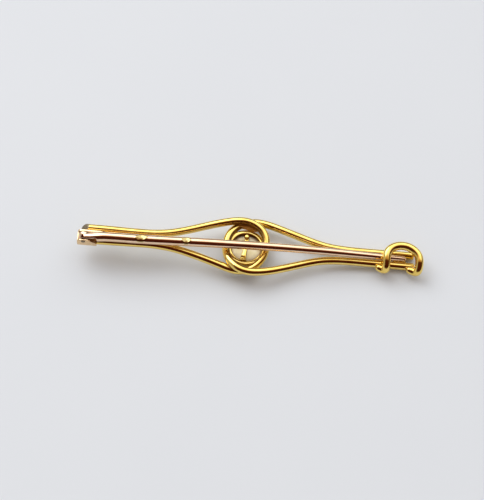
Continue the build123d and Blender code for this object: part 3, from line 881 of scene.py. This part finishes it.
def area(name, direction, dist, size, energy, colour=(1, 1, 1)):
    d = Vector(direction).normalized()
    li = bpy.data.lights.new(name, "AREA")
    li.shape = "RECTANGLE"
    li.size, li.size_y = size
    li.energy = energy
    li.color = colour
    ob = bpy.data.objects.new(name, li)
    ob.location = d * dist
    ob.rotation_mode = "QUATERNION"
    ob.rotation_quaternion = (-d).to_track_quat("-Z", "Y")
    bpy.context.scene.collection.objects.link(ob)
    return ob


area("window", (-2.3, 2.3, 3.4), 0.60, (0.46, 0.46), 1.35, (0.97, 0.985, 1.0))

w = bpy.data.worlds.new("studio")
bpy.context.scene.world = w
w.use_nodes = True
N, L = w.node_tree.nodes, w.node_tree.links
bg = N["Background"]
tc = N.new("ShaderNodeTexCoord")
sp = N.new("ShaderNodeSeparateXYZ")
L.new(tc.outputs["Generated"], sp.inputs[0])


def maprange(src, a, b, c, d):
    q = N.new("ShaderNodeMapRange")
    q.interpolation_type = "SMOOTHSTEP"
    q.inputs["From Min"].default_value, q.inputs["From Max"].default_value = a, b
    q.inputs["To Min"].default_value, q.inputs["To Max"].default_value = c, d
    L.new(src, q.inputs["Value"])
    return q.outputs["Result"]


neg = N.new("ShaderNodeMath"); neg.operation = "MULTIPLY"
L.new(sp.outputs["Y"], neg.inputs[0]); neg.inputs[1].default_value = -1.0
ang = N.new("ShaderNodeMath"); ang.operation = "ARCTAN2"
L.new(neg.outputs[0], ang.inputs[0]); L.new(sp.outputs["Z"], ang.inputs[1])
pos = N.new("ShaderNodeMapRange")
pos.inputs["From Min"].default_value, pos.inputs["From Max"].default_value = -math.pi / 2, math.pi / 2
L.new(ang.outputs[0], pos.inputs["Value"])
ramp = N.new("ShaderNodeValToRGB")
ramp.color_ramp.interpolation = "EASE"
stops = [(-90, (0.12, 0.10, 0.06)), (-68, (0.26, 0.24, 0.19)), (-56, (2.50, 2.52, 2.54)), (-12, (2.30, 2.32, 2.34)),
         (3, (0.92, 0.58, 0.30)), (14, (0.115, 0.026, 0.013)), (80, (0.070, 0.014, 0.008)),
         (90, (0.50, 0.46, 0.42))]
els = ramp.color_ramp.elements
for k, (deg, col) in enumerate(stops):
    e = els[k] if k < 2 else els.new(0.5)
for k, (deg, col) in enumerate(stops):
    e = els[k]
    e.position = k / 100.0
for k in range(len(stops) - 1, -1, -1):
    els[k].position = (stops[k][0] + 90) / 180
for e, (deg, col) in zip(sorted(els, key=lambda q: q.position), stops):
    e.color = (*[c / 2 for c in col], 1)
L.new(pos.outputs["Result"], ramp.inputs["Fac"])
# out to the sides (+-X) the room is a plain mid grey
side = N.new("ShaderNodeMath"); side.operation = "ABSOLUTE"
L.new(sp.outputs["X"], side.inputs[0])
sidef = maprange(side.outputs[0], 0.62, 0.90, 0.0, 1.0)
colr = N.new("ShaderNodeMix"); colr.data_type = "RGBA"
L.new(sidef, colr.inputs["Factor"])
L.new(ramp.outputs["Color"], colr.inputs["A"])
lr = maprange(sp.outputs["X"], -0.3, 0.3, 1.0, 0.0)
sidec = N.new("ShaderNodeMix"); sidec.data_type = "RGBA"
L.new(lr, sidec.inputs["Factor"])
sidec.inputs["A"].default_value = (0.085, 0.050, 0.030, 1)
sidec.inputs["B"].default_value = (0.36, 0.34, 0.31, 1)
L.new(sidec.outputs["Result"], colr.inputs["B"])
L.new(colr.outputs["Result"], bg.inputs["Color"])
bg.inputs["Strength"].default_value = 1.38
lp = N.new("ShaderNodeLightPath")
bg2 = N.new("ShaderNodeBackground")
bg2.inputs["Color"].default_value = (0.78, 0.79, 0.80, 1)
bg2.inputs["Strength"].default_value = 1.0
bg3 = N.new("ShaderNodeBackground")
bg3.inputs["Color"].default_value = (0.90, 0.92, 0.95, 1)
bg3.inputs["Strength"].default_value = 0.90
half = N.new("ShaderNodeMath"); half.operation = "MULTIPLY"
L.new(lp.outputs["Is Diffuse Ray"], half.inputs[0]); half.inputs[1].default_value = 0.45
md = N.new("ShaderNodeMixShader")
L.new(half.outputs[0], md.inputs[0])
L.new(bg.outputs[0], md.inputs[1])
L.new(bg3.outputs[0], md.inputs[2])
ms = N.new("ShaderNodeMixShader")
L.new(lp.outputs["Is Camera Ray"], ms.inputs[0])
L.new(md.outputs[0], ms.inputs[1])
L.new(bg2.outputs[0], ms.inputs[2])
L.new(ms.outputs[0], N["World Output"].inputs["Surface"])

bpy.context.scene.view_settings.view_transform = "Standard"

# camera: 63 degrees up, turned 3.4 degrees, level with the table
PX = 0.1453
DIST = 260.0
az, el = math.radians(-3.41), math.radians(63.0)
b = Vector((math.sin(az) * math.cos(el), -math.cos(az) * math.cos(el), math.sin(el)))
r = n.cross(b).normalized()
u = b.cross(r)
tx, ty = (245.5 - 242.0) * PX, -(246.9 - 250.0) * PX
loc = Vector(OFF) + b * DIST - r * tx - u * ty
cam_d = bpy.data.cameras.new("camera")
cam = bpy.data.objects.new("camera", cam_d)
cam.matrix_world = Matrix.Translation(loc * 0.001) @ Matrix((r, u, b)).transposed().to_4x4()
cam_d.sensor_fit = "AUTO"
cam_d.sensor_width = 36.0
cam_d.lens = (DIST / PX) * 36.0 / 500.0
cam_d.clip_start, cam_d.clip_end = 0.01, 20.0
bpy.context.scene.collection.objects.link(cam)
bpy.context.scene.camera = cam
